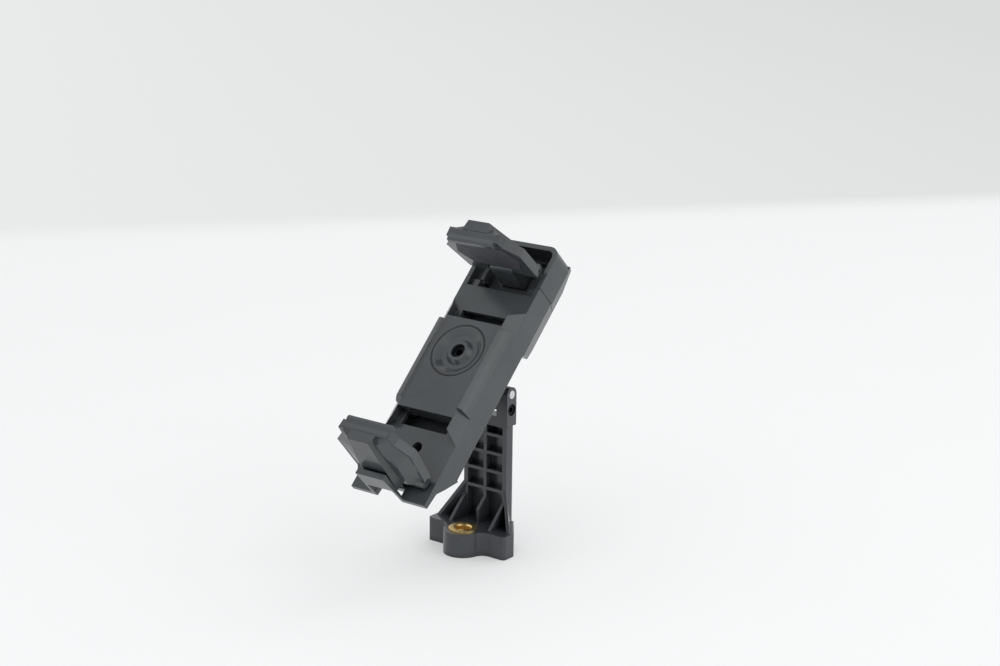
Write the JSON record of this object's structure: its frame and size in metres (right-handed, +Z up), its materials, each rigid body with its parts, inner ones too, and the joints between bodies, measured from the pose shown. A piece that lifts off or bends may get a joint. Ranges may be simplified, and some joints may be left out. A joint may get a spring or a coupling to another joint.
{
  "type": "tripod phone mount adapter",
  "caption": "Phone clamp with fold-flat jaws and a sprung slider, on a ribbed tilting post with a threaded tripod foot.",
  "frame": {"origin": "on the axis of the tripod thread, at the foot's base plane", "axes": "+Z up along the thread's axis, X across the clamp, -Y towards the phone"},
  "size_m": [0.032, 0.091, 0.1099],
  "materials": {
    "shell_plastic": "fine satin moulding",
    "post_plastic": "fine satin moulding",
    "grip_rubber": "matt",
    "brass": "bright, knurled",
    "steel": "bright zinc plated",
    "black_steel": "black oxide"
  },
  "bodies": {
    "stand": {"post_foot": "post_plastic", "thread_insert": "brass", "tilt_pin": "steel", "tension_screw": "black_steel", "tension_nut": "steel", "tilt_washers": "steel"},
    "turntable": {"turntable": "post_plastic", "swivel_disc": "shell_plastic", "swivel_screw": "black_steel", "swivel_washer": "steel"},
    "frame": {"clamp_frame": "shell_plastic", "rear_cover": "shell_plastic", "cover_screws": "steel", "lower_jaw_pin": "steel", "left_spring": "steel", "right_spring": "steel"},
    "slider": {"slider_cap": "shell_plastic", "slider_tongue": "shell_plastic", "guide_rods": "steel", "rod_collars": "steel", "upper_jaw_pin": "steel"},
    "upper_jaw": {"upper_jaw": "shell_plastic", "upper_pad": "grip_rubber"},
    "lower_jaw": {"lower_jaw": "shell_plastic", "lower_pad": "grip_rubber"}
  },
  "joints": [
    {"name": "tilt", "type": "hinge", "parent": "stand", "child": "turntable", "pos_m": [0, 0.0136, 0.0525], "axis": [-1, 0, 0], "range_deg": [-30, 45]},
    {"name": "swivel", "type": "hinge", "parent": "turntable", "child": "frame", "pos_m": [0, -0.00337, 0.06947], "axis": [0, -0.7071, 0.7071], "range_deg": [-90, 90]},
    {"name": "clamp_slide", "type": "slide", "parent": "frame", "child": "slider", "axis": [0, 0.7071, 0.7071], "range_m": [0, 0.025], "stiffness_N_per_m": 250, "springref_m": -0.012, "deforming": ["left_spring", "right_spring"]},
    {"name": "upper_jaw_fold", "type": "hinge", "parent": "slider", "child": "upper_jaw", "pos_m": [0, 0.02166, 0.09309], "axis": [1, 0, 0], "range_deg": [0, 83.2]},
    {"name": "lower_jaw_fold", "type": "hinge", "parent": "frame", "child": "lower_jaw", "pos_m": [0, -0.03505, 0.03638], "axis": [-1, 0, 0], "range_deg": [0, 83.2]}
  ]
}
